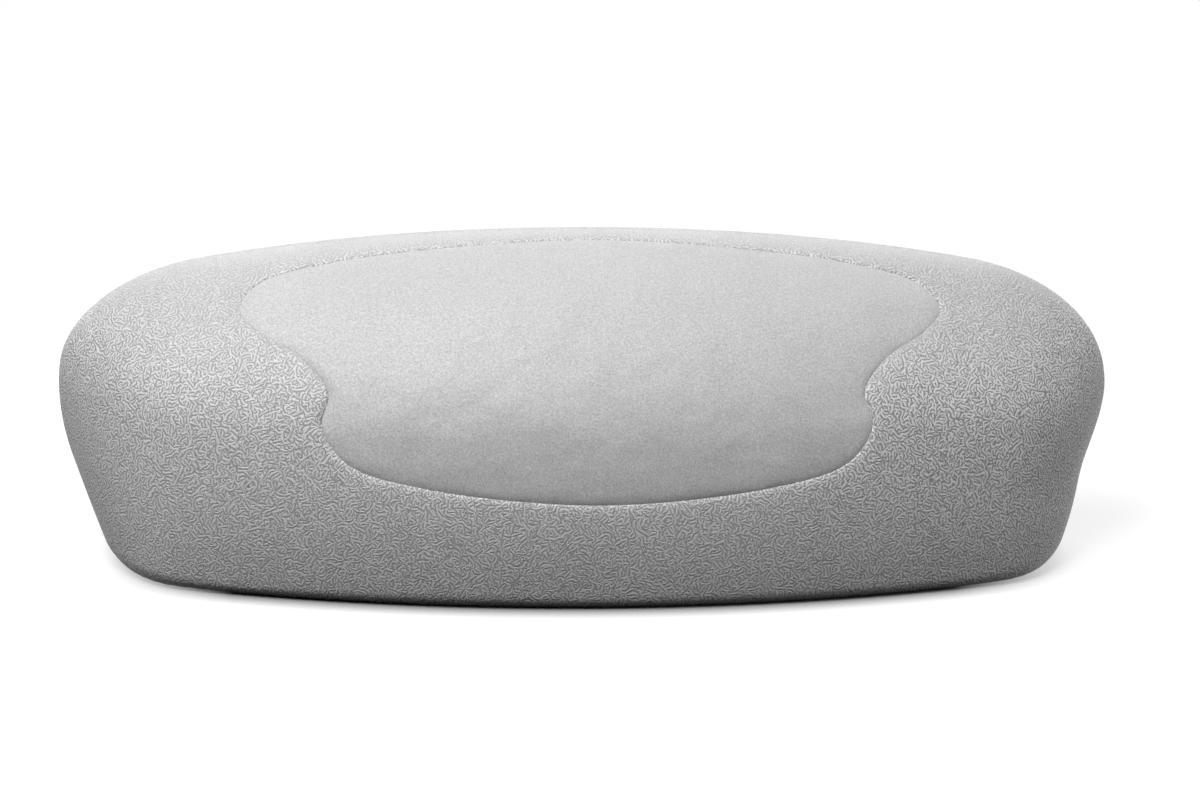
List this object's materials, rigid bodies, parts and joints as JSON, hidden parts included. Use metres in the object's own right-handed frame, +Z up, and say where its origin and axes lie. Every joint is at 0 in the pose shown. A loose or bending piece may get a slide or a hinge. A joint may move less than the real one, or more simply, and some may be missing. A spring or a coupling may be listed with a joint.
{
  "type": "bath pillow",
  "caption": "Moulded foam bath headrest with a grained skin, a smooth inset head panel and suction cups that hang in keyhole slots of a back plate.",
  "frame": {"origin": "on the floor under the middle of the pillow's overall box, cups included", "axes": "+X along the pillow's length, -Y out of the front that the head rests on, +Y out of the back toward the bath wall, +Z up from the flat base"},
  "size_m": [0.3536, 0.103, 0.107],
  "materials": {
    "grained_skin": "satin",
    "smooth_skin": "satin",
    "foam": "matte",
    "plate_plastic": "matte",
    "cup_pvc": "gloss"
  },
  "bodies": {
    "pillow": {"surround_skin": "grained_skin", "head_panel": "smooth_skin", "foam_core": "foam", "back_plate": "plate_plastic", "pocket_cap_1": "plate_plastic", "pocket_cap_2": "plate_plastic", "pocket_cap_3": "plate_plastic", "pocket_cap_4": "plate_plastic"},
    "cup_1": {"suction_cup_1": "cup_pvc"},
    "cup_2": {"suction_cup_2": "cup_pvc"},
    "cup_3": {"suction_cup_3": "cup_pvc"},
    "cup_4": {"suction_cup_4": "cup_pvc"}
  },
  "joints": [
    {"name": "cup_1_slot", "type": "slide", "parent": "pillow", "child": "cup_1", "axis": [0, 0, -1], "range_m": [0, 0.011]},
    {"name": "cup_2_slot", "type": "slide", "parent": "pillow", "child": "cup_2", "axis": [0, 0, -1], "range_m": [0, 0.011]},
    {"name": "cup_3_slot", "type": "slide", "parent": "pillow", "child": "cup_3", "axis": [0, 0, -1], "range_m": [0, 0.011]},
    {"name": "cup_4_slot", "type": "slide", "parent": "pillow", "child": "cup_4", "axis": [0, 0, -1], "range_m": [0, 0.011]}
  ]
}
